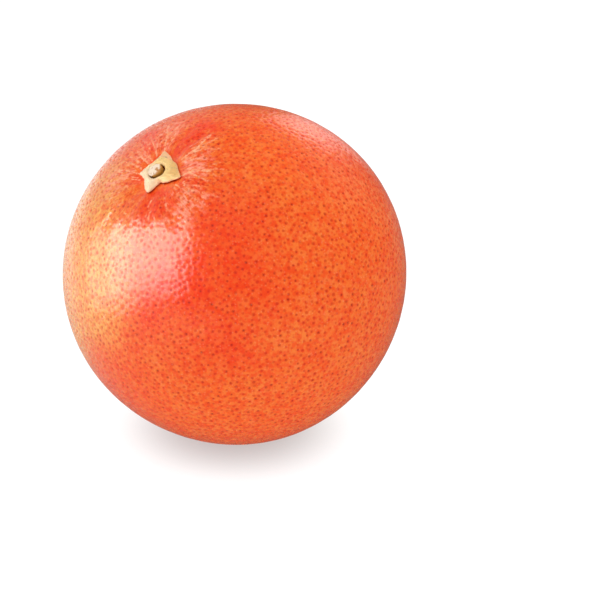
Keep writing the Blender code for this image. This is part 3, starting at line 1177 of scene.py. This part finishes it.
    def _scatter_pores(self) -> Array:
        """Throw pores at the sphere, keeping them apart.

        Returns:
            Unit directions of the pores.
        """
        draw = np.random.default_rng(self.pore_seed)
        thrown = to_unit(draw.normal(size=(self.pore_tries, 3)))
        chance = self.pore_chance + smooth(*self.pore_start, self.form.arc(thrown))
        thrown = thrown[draw.random(len(thrown)) < chance]
        thrown = thrown[self.form.arc(thrown) > self.pore_start[0]]
        apart = self.pore_spacing / self.form.mean
        cells: dict[tuple[int, ...], list[Place]] = {}
        kept = []
        grid = np.floor(thrown / apart).astype(int).tolist()
        around = list(product((-1, 0, 1), repeat=3))
        limit = apart * apart
        for (x, y, z), (i, j, k) in zip(thrown.tolist(), grid):
            if all(
                (p - x) ** 2 + (q - y) ** 2 + (r - z) ** 2 >= limit
                for a, b, c in around
                for p, q, r in cells.get((i + a, j + b, k + c), ())
            ):
                cells.setdefault((i, j, k), []).append((x, y, z))
                kept.append((x, y, z))
        return np.array(kept)

    def _points(self, pores: Array) -> tuple[Array, Array]:
        """Lay out the mesh's points: the pores with their rims, and more round the stem.

        Args:
            pores: Unit directions of the pores.

        Returns:
            Unit directions of all points, and for each its pore share and pore depth.
        """
        draw = np.random.default_rng(self.pore_seed + 1)
        count = len(pores)
        size = draw.random(count)
        rim = np.interp(size, (0.0, 1.0), self.pore_radius)
        aside = to_unit(np.cross(pores, draw.normal(size=(count, 3))))
        ahead = np.cross(pores, aside)
        rows = [pores]
        for step in range(self.pore_sides):
            turn = step * 2 * math.pi / self.pore_sides
            away = aside * math.cos(turn) + ahead * math.sin(turn)
            rows.append(to_unit(pores + away * (rim / self.form.mean)[:, None]))
        grown = smooth(*self.pore_start, self.form.arc(pores))
        grown = self.pore_grown + (1 - self.pore_grown) * grown
        depth = np.interp(size, (0.0, 1.0), self.pore_depth) * grown
        share = self.pore_faint + (1 - self.pore_faint) * draw.random(count) ** self.pore_strong
        share *= self.pore_young + (1 - self.pore_young) * grown
        directions = np.vstack(rows + [self._fill(pores)])
        pore = np.zeros((len(directions), 2))
        pore[:count, 0] = share
        pore[:count, 1] = depth
        return directions, pore

    def _fill(self, pores: Array) -> Array:
        """Add points in rings round the stem, closest where the creases and veins are.

        Args:
            pores: Unit directions of the pores, which the rings leave free.

        Returns:
            Unit directions of the added points.
        """
        draw = random.Random(self.fill_seed)
        tree = kdtree.KDTree(len(pores))
        for number, pore in enumerate(pores.tolist()):
            tree.insert(pore, number)
        tree.balance()
        fine, coarse = self.fill_spacing
        clear = (self.pore_radius[1] + self.fill_clear) / self.form.mean
        kept = []
        arc = self.fill_start
        while arc < self.fill_reach:
            further = max(0.0, (arc - self.fill_fine_to) / (self.fill_reach - self.fill_fine_to))
            step = fine + (coarse - fine) * further
            if arc < self.fill_under[0]:
                step = self.fill_under[1]
            ring = max(4, round(2 * math.pi * arc / step))
            start = draw.uniform(0, 2 * math.pi)
            for number in range(ring):
                stray = draw.uniform(-self.fill_stray, self.fill_stray)
                turn = start + 2 * math.pi * (number + stray) / ring
                stray = draw.uniform(-self.fill_stray, self.fill_stray)
                polar = (arc + stray * step) / self.form.mean
                out = math.sin(polar)
                point = Vector((out * math.cos(turn), out * math.sin(turn), math.cos(polar)))
                if tree.find(point)[2] > clear:
                    kept.append(tuple(point))
            arc += step * self.fill_row
        return to_unit(np.array(kept))

    def _cover(self, directions: Array, pore: Array) -> tuple[Array, Array, Array]:
        """Join the points into triangles that close the sphere.

        The sphere is opened out flat from the middle of the rest spot, joined there, and the
        last gap is closed round that middle.

        Args:
            directions: Unit directions of the points.
            pore: Pore share and depth of each.

        Returns:
            Triangles, directions and pore values, with the middle of the rest spot added last.
        """
        pole = self.form.down()
        clear = (directions @ pole) < math.cos(self.pole_clear / self.form.mean)
        directions, pore = directions[clear], pore[clear]
        first = to_unit(np.cross(pole, (0.0, 1.0, 0.0))[None, :])[0]
        second = np.cross(pole, first)
        along = directions @ pole
        flat = np.column_stack((directions @ first, directions @ second)) / (1 - along)[:, None]
        rows = [Vector(row) for row in flat.tolist()]
        result = delaunay_2d_cdt(rows, [], [], 0, self.join_within)
        origin = [numbers[0] for numbers in result[3]]
        triangles = np.array([[origin[number] for number in face] for face in result[2]])
        last = len(directions)
        edges = np.vstack((triangles[:, :2], triangles[:, 1:], triangles[:, [2, 0]]))
        keys = edges[:, 0] * (last + 1) + edges[:, 1]
        opposite = edges[:, 1] * (last + 1) + edges[:, 0]
        border = edges[~np.isin(keys, opposite)]
        fan = np.column_stack((border[:, 1], border[:, 0], np.full(len(border), last)))
        return (
            np.vstack((triangles, fan)),
            np.vstack((directions, pole)),
            np.vstack((pore, (0.0, 0.0))),
        )

    @staticmethod
    def _turn_outward(faces: Array, outward: Array) -> Array:
        """Order each triangle's points so that its front faces out.

        Args:
            faces: The triangles as numbers of points.
            outward: Unit direction of each point from the fruit's centre.

        Returns:
            The same triangles, in that order.
        """
        a, b, c = (outward[faces[:, number]] for number in range(3))
        inward = np.einsum("ij,ij->i", np.cross(b - a, c - a), a) < 0
        faces[inward] = faces[inward][:, ::-1]
        return faces

    def _relief(self, directions: Array, arc: Array, heading: Array) -> Array:
        """Height of the fine unevenness: soft swells everywhere, wrinkles by the stem.

        Args:
            directions: Unit directions of the points.
            arc: Their distance along the peel from the stem axis.
            heading: Their angle round it.

        Returns:
            Height to add at each point.
        """
        swell = rough(directions, *self.swells)
        start, full, fading, end = self.wrinkle_ring
        near = np.flatnonzero((arc > start) & (arc < end))
        wrinkle = np.zeros(len(arc))
        count, length = self.wrinkle_spokes
        wrinkle[near] = rough(around_axis(heading[near], count, arc[near] / length), *self.wrinkles)
        window = smooth(start, full, arc) * (1 - smooth(fading, end, arc))
        return self.swell_height * swell + self.wrinkle_height * wrinkle * window

    def _veins(self, arc: Array, heading: Array) -> Array:
        """Draw the veins beside the calyx and grade the points by them.

        Args:
            arc: Distance of each point along the peel from the stem axis.
            heading: Its angle round the axis.

        Returns:
            1 on a main vein, less on a faint one, 0 away from all.
        """
        draw = random.Random(self.vein_seed)
        lines = [(line, self.vein_strength) for line in self.main_veins]
        for middle, half, nearest, farthest, count in self.tufts:
            for _ in range(count):
                turn = middle + draw.uniform(-half, half)
                start = draw.uniform(nearest, farthest)
                length = draw.uniform(*self.faint_length)
                bend = draw.uniform(-self.faint_bend, self.faint_bend)
                steps = [
                    (turn + bend * share + draw.uniform(-1.0, 1.0), (start + length * share) / MM)
                    for share in self.faint_knots
                ]
                lines.append((tuple(steps), draw.uniform(*self.faint_strength)))
        near = np.flatnonzero(arc < self.vein_reach)
        flat = around_axis(heading[near], arc[near], 0.0)[:, :2]
        best = np.zeros(len(near))
        for line, strength in lines:
            width = draw.uniform(*self.vein_width)
            turns, outs = np.array(line).T
            knots = around_axis(np.radians(turns), outs * MM, 0.0)[:, :2]
            total = len(knots) - 1
            for number, (a, b) in enumerate(zip(knots, knots[1:])):
                span = b - a
                share = np.clip(((flat - a) @ span) / (span @ span), 0.0, 1.0)
                away = np.linalg.norm(flat - a - share[:, None] * span, axis=1)
                fade = 1 - self.vein_fade * (number + share) / total
                best = np.maximum(best, strength * fade * np.exp(-((away / width) ** 2)))
        vein = np.zeros(len(arc))
        vein[near] = best
        return vein

    def _calyx_shadow(self, arc: Array, heading: Array) -> Array:
        """Grade the points for the painted shadow: how near they are to the calyx's edge or how far
        under it.

        Args:
            arc: Distance of each point along the peel from the stem axis.
            heading: Its angle round the axis.

        Returns:
            1 under the calyx, falling to 0 a little way outside its edge.
        """
        under = np.zeros(len(arc))
        near = np.flatnonzero(arc < self.calyx_shadow_reach)
        outside = arc[near] - self.calyx.reach(heading[near])
        away = np.zeros(len(near))
        for middle, weight in zip(self.shadow_headings, self.shadow_weights):
            facing = np.clip(np.cos(heading[near] - middle), 0.0, 1.0)
            away = np.maximum(away, weight * facing**3)
        width = np.interp(away, (0.0, 1.0), self.calyx_shadow_width)
        under[near] = 1 - smooth(*self.calyx_shadow_soft, outside / width)
        return under

    def _unfold(self, piece: Object, outward: Array, faces: Array) -> None:
        """Lay the peel out for baking, as the six sides of a cube on two rows of three.

        Args:
            piece: The peel.
            outward: Unit direction of each point from the fruit's centre.
            faces: Its triangles.
        """
        middles = outward[faces].mean(axis=1)
        axis = np.abs(middles).argmax(axis=1)
        ahead = np.sign(middles[np.arange(len(faces)), axis])
        spread = np.zeros((len(faces), 3, 2))
        for side in Face:
            number, sign, column, row = side.value
            chosen = np.flatnonzero((axis == number) & (ahead == sign))
            corners = outward[faces[chosen]]
            others = [other for other in range(3) if other != number]
            flat = np.arctan(corners[..., others] / (corners[..., [number]] * sign)) / (math.pi / 2)
            flat[..., 0] *= sign if number != 1 else -sign
            spread[chosen] = (flat * self.bake_margin + 0.5 + np.array((column, row))) / (3, 2)
        data = piece.data
        layer = data.uv_layers.new(name="OFBake")
        layer.data.foreach_set("uv", spread.reshape(-1).astype(np.float32))


@dataclass
class Calyx:
    """The dry star of sepals round the stalk."""

    form: PeelForm
    hole: float = 0.00268
    closed_heading: float = math.radians(-82.0)
    closed_by: float = 0.00034
    closed_rise: float = 0.0007
    closed_steep: int = 3
    closed_side: Pair = (-0.2, 1.0)
    hub: float = 0.0017
    hub_steep: float = 1.5
    edge: float = 0.0008
    edge_band: float = 0.0006
    clearance: float = 0.00015
    tip_lift: float = 0.00015
    lifted_at: float = 0.0095
    plumpness: float = 0.6
    puff: float = 0.00040
    collar: float = 0.00045
    collar_at: float = 0.0034
    collar_width: float = 0.0006
    rib: float = 0.00030
    rib_width: float = 0.0008
    rib_start: Pair = (0.003, 0.0045)
    rib_fade: float = 0.6
    leather: float = 0.00028
    leather_grain: Pair = (620.0, 1.0)
    ragged_by: float = 0.00016
    ragged_grain: Pair = (9.0, 1.0)
    rounding: float = 3.0
    rounding_steps: tuple[float, ...] = (-1.0, -0.5, 0.0, 0.5, 1.0)
    steps: int = 300
    section: int = 36

    # Corners of the outline: heading in degrees and distance from the axis, tips and notches
    outline: tuple[Pair, ...] = (
        (-179.0, 0.0069), (-158.0, 0.0084), (-146.0, 0.0067),
        (-127.0, 0.0055), (-109.0, 0.00535), (-89.0, 0.0060),
        (-70.0, 0.00675), (-41.0, 0.00465), (-19.0, 0.0055),
        (1.0, 0.0069), (16.0, 0.0081), (31.5, 0.0053),
        (50.0, 0.0042), (57.0, 0.0050), (71.0, 0.0062),
        (82.0, 0.0071), (95.0, 0.0095), (111.0, 0.0075),
        (124.5, 0.0067), (139.0, 0.0064), (163.5, 0.0059),
    )
    tips: tuple[float, ...] = (-158.0, -70.0, 15.0, 95.0)

    def build(self, material: Material) -> Object:
        """Build the star as a ring whose section is drawn out to the lobes.

        Args:
            material: The calyx's finish.

        Returns:
            The piece.
        """
        headings = np.linspace(-math.pi, math.pi, self.steps, endpoint=False)
        turns = np.linspace(0, 2 * math.pi, self.section, endpoint=False)
        heading, turn = (part.ravel() for part in np.meshgrid(headings, turns, indexing="ij"))
        reach = np.repeat(self.reach(headings), self.section)
        share = (1 + np.cos(turn)) / 2
        closing = smooth(*self.closed_side, np.cos(heading - self.closed_heading))
        hole = self.hole - self.closed_by * closing
        distance = hole + (reach - hole) * share
        thickness = self.edge + (self.hub - self.edge) * (1 - share) ** self.hub_steep
        thickness += self.closed_rise * closing * (1 - share) ** self.closed_steep
        lift = self.tip_lift * smooth(self.hole, self.lifted_at, distance)
        ground = self.form.height(distance, heading)
        middle = ground + self.clearance + lift + thickness / 2
        sine = np.sin(turn)
        bulge = np.sign(sine) * np.abs(sine) ** self.plumpness
        height = middle + bulge * thickness / 2
        height += np.clip(sine, 0, 1) * self._relief(heading, distance, share)
        points = self.form.to_world(around_axis(heading, distance, height))
        faces = grid_faces(self.steps, self.section, closed=True)
        piece = add_piece("calyx_star", points, faces, material, "calyx")
        add_values(piece, "edge", np.clip(1 - (reach - distance) / self.edge_band, 0.0, 1.0))
        return piece

    def reach(self, headings: Array) -> Array:
        """Distance of the star's edge from the axis.

        Args:
            headings: Angles round the axis, in radians.

        Returns:
            The distance at each, straight between the corners, which are slightly rounded.
        """
        corners = np.array(
            [(angle + turn, out) for turn in (-360, 0, 360) for angle, out in self.outline]
        )
        corners[:, 0] = np.radians(corners[:, 0])
        total = np.zeros(len(headings))
        for share in self.rounding_steps:
            ray = headings + math.radians(self.rounding * share)
            place = np.searchsorted(corners[:, 0], ray, side="right") - 1
            before, near = corners[place].T
            after, far = corners[place + 1].T
            edge_x = far * np.cos(after - before) - near
            edge_y = far * np.sin(after - before)
            turn = ray - before
            total += near * edge_y / (np.cos(turn) * edge_y - np.sin(turn) * edge_x)
        ragged = rough(around_axis(headings, 1.0, 0.0), self.ragged_grain)
        return total / len(self.rounding_steps) + self.ragged_by * ragged

    def _relief(self, heading: Array, distance: Array, share: Array) -> Array:
        """Relief of the upper side: the collar round the stalk, ribs and a leathery surface.

        Args:
            heading: Angle round the axis.
            distance: Distance from it.
            share: 0 at the hole and 1 at the edge.

        Returns:
            Height to add.
        """
        away = (distance - self.collar_at) / self.collar_width
        height = self.collar * np.exp(-(away**2)) + self.puff * np.sin(math.pi * share)
        ribs = np.zeros(len(heading))
        for tip in self.tips:
            turn = turn_from(heading, math.radians(tip))
            ribs += np.exp(-((turn * distance / self.rib_width) ** 2))
        height += self.rib * ribs * smooth(*self.rib_start, distance) * (1 - self.rib_fade * share)
        leathery = rough(around_axis(heading, distance, 0.0), self.leather_grain)
        return height + self.leather * leathery


@dataclass
class StemStub:
    """The cut end of the stalk, standing in the hole of the calyx."""

    form: PeelForm
    foot_radius: float = 0.0023
    face_radius: float = 0.00218
    clearance: float = 0.0002
    rise: float = 0.00245
    dome: float = 0.00045
    shift: float = 0.00016
    lean: float = 0.00030
    lean_heading: float = math.radians(-88.0)
    foot_inset: float = 0.9
    foot_round: float = 0.0003
    face_inset: float = 0.0002
    face_round: float = 0.0004
    wall_short: float = 0.0006
    wall_steps: Trio = (0.35, 0.6, 0.8)
    face_steps: Band = (0.8, 0.6, 0.4, 0.2)
    face_full: float = 1.55
    round_steps: int = 4
    by_axis: float = 1e-6
    wobble: tuple[Pair, ...] = ((1.7, 0.045), (6.0, 0.02))
    wobble_along: float = 300.0
    bump_height: float = 0.00009
    bump_scale: float = 1900.0
    steps: int = 72

    def build(self, material: Material) -> Object:
        """Build the stub as a turned peg that is cut unevenly.

        Args:
            material: The stub's finish.

        Returns:
            The piece.
        """
        foot = float(self.form.height(np.array([self.by_axis]), np.zeros(1))[0]) + self.clearance
        top = foot + self.rise
        inset, bend = self.face_inset, self.face_round
        profile = [(self.foot_radius * self.foot_inset, foot, 0.0)]
        profile.append((self.foot_radius, foot + self.foot_round, 0.0))
        for share in self.wall_steps:
            out = self.foot_radius + (self.face_radius + inset - self.foot_radius) * share
            profile.append((out, foot + (self.rise - self.wall_short) * share, 0.0))
        for step in range(self.round_steps + 1):
            turn = math.pi / 2 * step / self.round_steps
            out = self.face_radius - inset + bend * math.cos(turn)
            up = top - self.dome - bend + bend * math.sin(turn)
            profile.append((out, up, step / (2 * self.round_steps)))
        for share in self.face_steps:
            out = (self.face_radius - inset) * share
            profile.append((out, top - self.dome * share**2, min(1.0, self.face_full - share)))
        points, cut = [], []
        sideways = Vector((math.cos(self.lean_heading), math.sin(self.lean_heading)))
        for out, height, face in profile:
            for step in range(self.steps):
                turn = 2 * math.pi * step / self.steps
                ray = Vector((math.cos(turn), math.sin(turn), height * self.wobble_along))
                wide = out * sum((high * noise.noise(ray * near) for near, high in self.wobble), 1)
                shift = sideways * (self.shift + self.lean * (height - foot) / self.rise)
                spot = Vector((out * ray.x, out * ray.y, 0)) * self.bump_scale
                bumps = self.bump_height * noise.noise(spot) * face
                points.append((wide * ray.x + shift.x, wide * ray.y + shift.y, height + bumps))
                cut.append(face)
        faces = grid_faces(len(profile), self.steps, closed=False)
        faces.append(tuple(range(self.steps))[::-1])
        faces.append(tuple(range(len(points) - self.steps, len(points))))
        placed = self.form.to_world(np.array(points))
        piece = add_piece("stalk_stub", placed, faces, material, "stem_stub")
        add_values(piece, "cut", np.array(cut))
        return piece


@dataclass(frozen=True)
class Lamp:
    """One soft box: where it stands as seen from the fruit, its size and its brightness."""

    name: str
    towards: Place
    distance: float
    size: Pair
    radiance: float
    reach: LightReach = LightReach.GLOSS
    shift: Place = (0.0, 0.0, 0.0)
    roll: float = 0.0
    lean: Pair = (0.0, 0.0)
    layers: int = 1
    layer_step: Pair = (0.09, 0.09)
    layer_gap: float = 0.003
    colour: Trio = (1.0, 1.0, 1.0)

    def build(self, centre: Vector) -> None:
        """Stand the lamp up, facing the fruit, as nested panels so that its edges fade.

        Args:
            centre: Middle of the fruit.
        """
        aim = Vector(self.towards).normalized()
        facing = aim.to_track_quat("Z", "Y").to_matrix() @ Matrix.Rotation(self.roll, 3, "Z")
        for layer in range(self.layers):
            shrink = [1 - step * layer for step in self.layer_step]
            data = bpy.data.lights.new(self.name, "AREA")
            data.shape = "RECTANGLE"
            data.size, data.size_y = (side * part for side, part in zip(self.size, shrink))
            data.energy = 4 * data.size * data.size_y * self.radiance / self.layers
            data.color = self.colour
            lamp = bpy.data.objects.new(self.name, data)
            spare = [
                side * (1 - part) / 2 * lean
                for side, part, lean in zip(self.size, shrink, self.lean)
            ]
            aside = Vector(self.shift) + facing @ Vector((*spare, 0.0))
            lamp.location = centre + aim * (self.distance - self.layer_gap * layer) + aside
            lamp.rotation_euler = facing.to_euler()
            lamp.visible_camera = False
            lamp.visible_diffuse = self.reach is not LightReach.GLOSS
            lamp.visible_glossy = self.reach is LightReach.GLOSS
            bpy.context.scene.collection.objects.link(lamp)


def window_panel(name: str, distance: float, size: Pair, **rest: Any) -> Lamp:
    """Describe one panel of the window, all of which face the fruit the same way.

    Args:
        name: Name of the panel.
        distance: How far it stands from the fruit's middle.
        size: Its width and height.
        **rest: Its other values.

    Returns:
        The panel.
    """
    return Lamp(
        name,
        (-0.857, -0.439, 0.266),
        distance,
        size,
        roll=math.radians(26.0),
        colour=(1.0, 0.985, 0.95),
        **rest,
    )


@dataclass
class Studio:
    """Pale floor, bright surroundings and soft boxes."""

    centre: Vector
    floor_size: float = 8.0
    floor_colour: Colour = (0.46, 0.46, 0.455, 1.0)
    floor_cloud: float = 0.985
    floor_scale: float = 3.0
    floor_roughness: float = 0.65
    floor_specular: float = 0.2
    floor_glow: float = 0.68
    # Painted shadow: the floor's glow for the camera, low by the fruit's foot and full further off,
    # and the distances between
    floor_painted_shadow: Pair = (0.50, 0.98)
    floor_painted_shadow_from: Pair = (0.014, 0.047)
    floor_sheen: Pair = (0.15, 1.06)
    floor_sheen_from: Pair = (-0.02, -0.18)
    floor_tinged: float = 0.25
    surround: float = 0.86
    backdrop: float = 1.1
    bright_side: Place = (-0.80, 0.57, 0.18)
    bright_from: Pair = (0.45, 1.0)
    bright_gloss: Pair = (0.06, 0.80)
    lamps: tuple[Lamp, ...] = (
        window_panel(
            "window_box",
            0.17,
            (0.1755, 0.143),
            radiance=4.9,
            shift=(0.0032, -0.0149, 0.0147),
            lean=(0.50, 0.7),
            layers=3,
            layer_step=(0.135, 0.17),
        ),
        window_panel(
            "window_head",
            0.1655,
            (0.184, 0.105),
            radiance=2.9,
            shift=(0.0140, -0.0200, 0.0390),
            lean=(0.50, 0.7),
            layers=2,
            layer_step=(0.13, 0.26),
        ),
        window_panel(
            "window_wing",
            0.16,
            (0.265, 0.133),
            radiance=3.2,
            shift=(-0.0197, 0.0189, -0.0033),
            lean=(0.74, 0.7),
            layers=2,
            layer_step=(0.170, 0.17),
        ),
        Lamp("top_fill", (-0.10, -0.35, 0.92), 1.3, (0.9, 0.9), 1.1, LightReach.SOFT),
        Lamp("side_fill", (0.45, 0.66, 0.60), 1.3, (0.9, 0.9), 1.5, LightReach.SOFT),
        Lamp("back_box", (0.28, 0.93, 0.27), 1.6, (0.50, 1.0), 0.7, layers=3),
        Lamp(
            "back_top", (0.38, 0.80, 0.46), 1.6, (0.60, 0.60), 0.9, layers=3, layer_step=(0.2, 0.2)
        ),
    )

    def build(self) -> None:
        """Lay the floor, light the surroundings and stand up the lamps."""
        self._floor()
        self._world()
        for lamp in self.lamps:
            lamp.build(self.centre)
            LOG.info("lamp %s", lamp.name)

    def _floor(self) -> None:
        """Lay the floor, which the peel's gloss and the camera see in their own ways, with a
        painted shadow round the fruit's foot.
        """
        half = self.floor_size / 2
        data = bpy.data.meshes.new("floor")
        corners = [(-half, -half, 0), (half, -half, 0), (half, half, 0), (-half, half, 0)]
        data.from_pydata(corners, [], [(0, 1, 2, 3)])
        floor = bpy.data.objects.new("floor", data)
        nodes = Dressing("floor")
        clouded = tuple(self.floor_cloud * part for part in self.floor_colour)
        shade = nodes.tint(nodes.cloud(self.floor_scale), self.floor_colour, clouded)
        ray = nodes.add("ShaderNodeLightPath").outputs
        aside = nodes.add("ShaderNodeSeparateXYZ", {0: nodes.place}).outputs["X"]
        lit = nodes.rise(aside, *self.floor_sheen_from, *self.floor_sheen, "LINEAR")
        dimmed = nodes.blend(ray["Is Glossy Ray"], 1.0, lit)
        tinged = nodes.blend(ray["Is Camera Ray"], dimmed, self.floor_tinged)
        # Painted shadow: the floor glows less for the camera near the fruit's foot
        away = nodes.vector("LENGTH", {0: nodes.place}).outputs["Value"]
        seen = nodes.rise(away, *self.floor_painted_shadow_from, *self.floor_painted_shadow)
        glow = nodes.blend(ray["Is Camera Ray"], nodes.times(dimmed, self.floor_glow), seen)
        plugs = {
            "Base Color": nodes.vector("SCALE", {0: shade, "Scale": tinged}).outputs[0],
            "Emission Strength": glow,
            "Emission Color": WHITE,
            "Roughness": self.floor_roughness,
            "Specular IOR Level": self.floor_specular,
        }
        nodes.plug(nodes.shader, plugs)
        data.materials.append(nodes.material)
        bpy.context.scene.collection.objects.link(floor)

    def _world(self) -> None:
        """Light the surroundings: white all round, darker in front for what is glossy."""
        world = bpy.data.worlds.new("studio")
        world.use_nodes = True
        bpy.context.scene.world = world
        nodes = Wiring(world.node_tree)
        side = nodes.add("ShaderNodeTexCoord").outputs["Generated"]
        gloss = nodes.rise(nodes.dot(side, self.bright_side), *self.bright_from, *self.bright_gloss)
        ray = nodes.add("ShaderNodeLightPath").outputs
        soft = nodes.blend(ray["Is Camera Ray"], self.surround, self.backdrop)
        strength = nodes.blend(ray["Is Glossy Ray"], soft, gloss)
        nodes.plug(world.node_tree.nodes["Background"], {"Strength": strength, "Color": WHITE})


@dataclass
class View:
    """The camera, aimed so that the fruit comes where the photograph has it."""

    centre: Vector
    lens: float = 85.0
    distance: float = 0.4732
    elevation: float = math.radians(21.8)
    spot: Pair = (235.3, 273.6)
    picture: float = 600.0

    def build(self) -> Object:
        """Set up the camera.

        Returns:
            The camera.
        """
        data = bpy.data.cameras.new("view")
        data.lens = self.lens
        data.clip_start = 0.01
        camera = bpy.data.objects.new("view", data)
        back = Vector((0.0, -math.cos(self.elevation), math.sin(self.elevation)))
        camera.location = self.centre + back * self.distance
        focal = self.lens / data.sensor_width * self.picture
        sideways = (self.spot[0] - self.picture / 2) / focal
        upward = (self.picture / 2 - self.spot[1]) / focal
        level = Matrix.Rotation(math.pi / 2 - self.elevation, 3, "X")
        seen = Vector((sideways, upward, -1.0)).normalized()
        turn = seen.rotation_difference(Vector((0.0, 0.0, -1.0)))
        camera.rotation_euler = (level @ turn.to_matrix()).to_euler()
        bpy.context.scene.collection.objects.link(camera)
        bpy.context.scene.camera = camera
        return camera


def main() -> None:
    """Build the camera, the studio and the three pieces."""
    logging.basicConfig(level=logging.INFO, format="%(name)s: %(message)s")
    form = PeelForm()
    centre = Vector(form.centre)
    View(centre).build()
    Studio(centre).build()
    effects = Effects(form)
    calyx = Calyx(form)
    Fruit(form, calyx).build(PeelFinish().material(effects))
    calyx.build(CalyxFinish().material(effects))
    StemStub(form).build(StubFinish().material(effects))
    bpy.context.scene.view_settings.view_transform = "Standard"
    LOG.info("sizes written")


if __name__ == "__main__":
    main()
